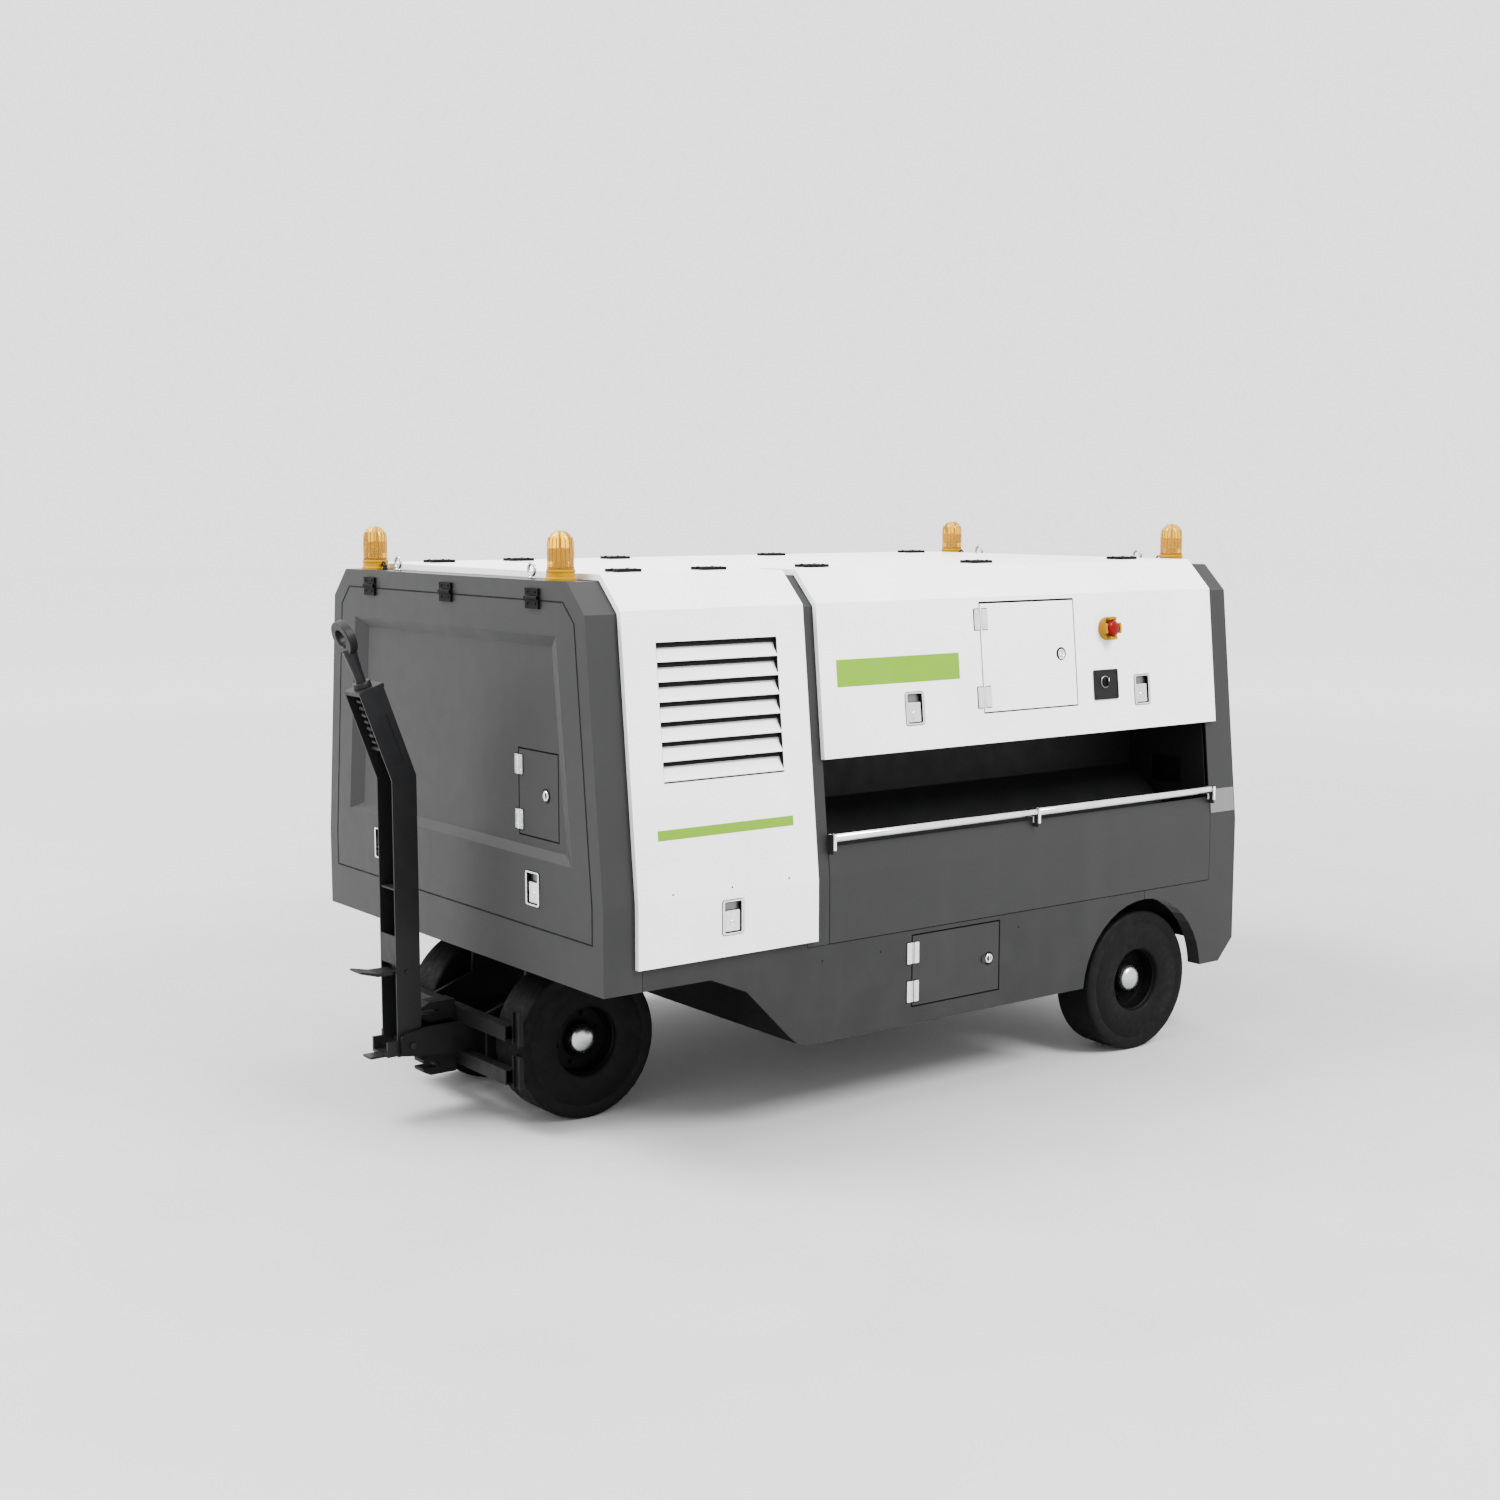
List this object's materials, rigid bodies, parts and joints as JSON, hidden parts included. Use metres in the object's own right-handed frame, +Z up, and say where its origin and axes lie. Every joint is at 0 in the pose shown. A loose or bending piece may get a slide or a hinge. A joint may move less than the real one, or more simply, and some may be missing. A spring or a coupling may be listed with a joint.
{
  "type": "towable battery generator",
  "caption": "Towable battery ground power unit: hinged-door cabinet on a four-wheel steered trolley with cable tray, folding towbar, beacons and lifting eyes.",
  "frame": {"origin": "centre of the overall box on the floor", "axes": "+X towards the rear of the trolley (towbar at -X), -Y the operator side with the cable tray, +Z up"},
  "size_m": [3.5344, 2.058, 2.1033],
  "materials": {
    "door_white": "satin powder coat",
    "frame_grey": "satin powder coat",
    "skirt_grey": "satin powder coat",
    "chassis_black": "semi-gloss enamel",
    "towbar_black": "semi-gloss enamel",
    "tray_dark": "satin powder coat",
    "roller_white": "satin",
    "bright_steel": "zinc plated",
    "chrome_latch": "polished",
    "tyre_rubber": "smooth tread",
    "beacon_amber": "translucent amber lens on black foot",
    "stop_yellow": "moulded",
    "stop_red": "moulded",
    "knob_black": "moulded",
    "fan_black": "moulded",
    "battery_case": "textured",
    "control_case": "moulded"
  },
  "bodies": {
    "body": {"front_frame": "frame_grey", "mid_frame": "frame_grey", "rear_frame": "frame_grey", "rear_panel": "frame_grey", "roof_panel": "door_white", "chassis_frame": "chassis_black", "skirt_near": "skirt_grey", "skirt_far": "skirt_grey", "cable_tray": "tray_dark", "tray_panel": "frame_grey", "rear_axle": "chassis_black", "slew_ring": "chassis_black", "battery_pack_lower": "battery_case", "battery_pack_upper": "battery_case", "power_converter": "battery_case", "fan_housing": "fan_black", "beacon_front_near": "beacon_amber", "beacon_front_far": "beacon_amber", "beacon_rear_near": "beacon_amber", "beacon_rear_far": "beacon_amber", "lifting_eye_front_near": "bright_steel", "lifting_eye_front_far": "bright_steel", "lifting_eye_rear_near": "bright_steel", "lifting_eye_rear_far": "bright_steel"},
    "near_front_door": {"near_front_door": "door_white"},
    "near_main_door": {"near_main_door": "door_white", "control_unit": "control_case", "e_stop_base": "stop_yellow"},
    "far_front_door": {"far_front_door": "door_white"},
    "far_main_door": {"far_main_door": "door_white"},
    "nose_door": {"nose_door": "frame_grey"},
    "control_hatch": {"control_hatch": "door_white"},
    "nose_hatch": {"nose_hatch": "frame_grey"},
    "lower_hatch": {"lower_hatch": "frame_grey"},
    "bogie": {"bogie_frame": "chassis_black", "towbar_pin": "towbar_black"},
    "towbar": {"towbar": "towbar_black", "buffer_spring": "towbar_black"},
    "tow_eye": {"tow_eye": "towbar_black"},
    "release_pedal": {"release_pedal": "towbar_black"},
    "fan_rotor": {"fan_rotor": "fan_black"},
    "roller_bar": {"roller_bar": "roller_white"},
    "e_stop_button": {"e_stop_button": "stop_red"},
    "selector_knob": {"selector_knob": "knob_black"},
    "latch_near_front_door": {"latch_near_front_door": "chrome_latch"},
    "latch_near_main_door_front": {"latch_near_main_door_front": "chrome_latch"},
    "latch_near_main_door_rear": {"latch_near_main_door_rear": "chrome_latch"},
    "latch_far_front_door": {"latch_far_front_door": "chrome_latch"},
    "latch_far_main_door_front": {"latch_far_main_door_front": "chrome_latch"},
    "latch_far_main_door_rear": {"latch_far_main_door_rear": "chrome_latch"},
    "latch_nose_near": {"latch_nose_near": "chrome_latch"},
    "latch_nose_far": {"latch_nose_far": "chrome_latch"},
    "wheel_front_near": {"tyre_front_near": "tyre_rubber", "rim_front_near": "chassis_black"},
    "wheel_front_far": {"tyre_front_far": "tyre_rubber", "rim_front_far": "chassis_black"},
    "wheel_rear_near": {"tyre_rear_near": "tyre_rubber", "rim_rear_near": "chassis_black"},
    "wheel_rear_far": {"tyre_rear_far": "tyre_rubber", "rim_rear_far": "chassis_black"}
  },
  "joints": [
    {"name": "near_front_door_hinge", "type": "hinge", "parent": "body", "child": "near_front_door", "pos_m": [-0.83582, -0.651, 1.962], "axis": [-1, 0, 0], "range_deg": [0, 80]},
    {"name": "near_main_door_hinge", "type": "hinge", "parent": "body", "child": "near_main_door", "pos_m": [0.62318, -0.651, 1.962], "axis": [-1, 0, 0], "range_deg": [0, 80]},
    {"name": "far_front_door_hinge", "type": "hinge", "parent": "body", "child": "far_front_door", "pos_m": [-0.83582, 0.651, 1.962], "axis": [1, 0, 0], "range_deg": [0, 80]},
    {"name": "far_main_door_hinge", "type": "hinge", "parent": "body", "child": "far_main_door", "pos_m": [0.62318, 0.651, 1.962], "axis": [1, 0, 0], "range_deg": [0, 80]},
    {"name": "nose_door_hinge", "type": "hinge", "parent": "body", "child": "nose_door", "pos_m": [-1.34082, 0, 1.88], "axis": [0, 1, 0], "range_deg": [0, 6]},
    {"name": "control_hatch_hinge", "type": "hinge", "parent": "near_main_door", "child": "control_hatch", "pos_m": [0.37018, -0.9722, 1.423], "axis": [0, -0.0995, -0.995], "range_deg": [0, 110]},
    {"name": "lower_hatch_hinge", "type": "hinge", "parent": "body", "child": "lower_hatch", "pos_m": [-0.00382, -1.0075, 0.505], "axis": [0, 0, -1], "range_deg": [0, 110]},
    {"name": "nose_hatch_hinge", "type": "hinge", "parent": "nose_door", "child": "nose_hatch", "pos_m": [-1.31232, -0.445, 1.215], "axis": [0, 0, -1], "range_deg": [0, 110]},
    {"name": "steer", "type": "hinge", "parent": "body", "child": "bogie", "pos_m": [-1.02382, 0, 0.589], "axis": [0, 0, 1], "range_deg": [-30, 30]},
    {"name": "wheel_front_near_spin", "type": "hinge", "parent": "bogie", "child": "wheel_front_near", "pos_m": [-1.02382, -0.3275, 0.282], "axis": [0, 1, 0], "continuous": true},
    {"name": "wheel_front_far_spin", "type": "hinge", "parent": "bogie", "child": "wheel_front_far", "pos_m": [-1.02382, 0.3275, 0.282], "axis": [0, 1, 0], "continuous": true},
    {"name": "wheel_rear_near_spin", "type": "hinge", "parent": "body", "child": "wheel_rear_near", "pos_m": [1.23818, -0.8745, 0.282], "axis": [0, 1, 0], "continuous": true},
    {"name": "wheel_rear_far_spin", "type": "hinge", "parent": "body", "child": "wheel_rear_far", "pos_m": [1.23818, 0.8745, 0.282], "axis": [0, 1, 0], "continuous": true},
    {"name": "towbar_pivot", "type": "hinge", "parent": "bogie", "child": "towbar", "pos_m": [-1.54582, 0, 0.28], "axis": [0, -1, 0], "range_deg": [0, 88]},
    {"name": "tow_eye_buffer", "type": "slide", "parent": "towbar", "child": "tow_eye", "axis": [-0.3502, 0, 0.9367], "range_m": [0, 0.012], "stiffness_N_per_m": 40000, "springref_m": -0.003, "deforming": ["buffer_spring"]},
    {"name": "pedal_pivot", "type": "hinge", "parent": "towbar", "child": "release_pedal", "pos_m": [-1.55282, 0, 0.545], "axis": [0, -1, 0], "range_deg": [0, 25], "stiffness_Nm_per_rad": 20, "springref_deg": -17.19},
    {"name": "fan_spin", "type": "hinge", "parent": "body", "child": "fan_rotor", "pos_m": [-0.83182, -0.836, 1.512], "axis": [0, 1, 0], "continuous": true},
    {"name": "roller_spin", "type": "hinge", "parent": "body", "child": "roller_bar", "pos_m": [0.60718, -1.009, 1.033], "axis": [1, 0, 0], "continuous": true},
    {"name": "e_stop_press", "type": "slide", "parent": "near_main_door", "child": "e_stop_button", "axis": [0, 0.995, -0.0995], "range_m": [0, 0.006], "stiffness_N_per_m": 900, "springref_m": -0.002},
    {"name": "selector_turn", "type": "hinge", "parent": "near_main_door", "child": "selector_knob", "pos_m": [1.01018, -0.9645, 1.5], "axis": [0, -0.995, 0.0995], "range_deg": [-45, 45]},
    {"name": "latch_near_front_door_pull", "type": "hinge", "parent": "near_front_door", "child": "latch_near_front_door", "pos_m": [-0.82982, -1.018, 0.771], "axis": [1, 0, 0], "range_deg": [0, 45], "stiffness_Nm_per_rad": 0.6, "springref_deg": -20.05},
    {"name": "latch_near_main_door_front_pull", "type": "hinge", "parent": "near_main_door", "child": "latch_near_main_door_front", "pos_m": [0.02518, -0.96591, 1.41551], "axis": [1, 0, 0], "range_deg": [0, 45], "stiffness_Nm_per_rad": 0.6, "springref_deg": -20.05},
    {"name": "latch_near_main_door_rear_pull", "type": "hinge", "parent": "near_main_door", "child": "latch_near_main_door_rear", "pos_m": [1.22118, -0.96571, 1.41751], "axis": [1, 0, 0], "range_deg": [0, 45], "stiffness_Nm_per_rad": 0.6, "springref_deg": -20.05},
    {"name": "latch_far_front_door_pull", "type": "hinge", "parent": "far_front_door", "child": "latch_far_front_door", "pos_m": [-0.82982, 1.018, 0.771], "axis": [-1, 0, 0], "range_deg": [0, 45], "stiffness_Nm_per_rad": 0.6, "springref_deg": -20.05},
    {"name": "latch_far_main_door_front_pull", "type": "hinge", "parent": "far_main_door", "child": "latch_far_main_door_front", "pos_m": [0.02518, 0.96591, 1.41551], "axis": [-1, 0, 0], "range_deg": [0, 45], "stiffness_Nm_per_rad": 0.6, "springref_deg": -20.05},
    {"name": "latch_far_main_door_rear_pull", "type": "hinge", "parent": "far_main_door", "child": "latch_far_main_door_rear", "pos_m": [1.22118, 0.96571, 1.41751], "axis": [-1, 0, 0], "range_deg": [0, 45], "stiffness_Nm_per_rad": 0.6, "springref_deg": -20.05},
    {"name": "latch_nose_near_pull", "type": "hinge", "parent": "nose_door", "child": "latch_nose_near", "pos_m": [-1.32582, -0.565, 0.854], "axis": [0, -1, 0], "range_deg": [0, 45], "stiffness_Nm_per_rad": 0.6, "springref_deg": -20.05},
    {"name": "latch_nose_far_pull", "type": "hinge", "parent": "nose_door", "child": "latch_nose_far", "pos_m": [-1.32582, 0.565, 0.854], "axis": [0, -1, 0], "range_deg": [0, 45], "stiffness_Nm_per_rad": 0.6, "springref_deg": -20.05}
  ]
}
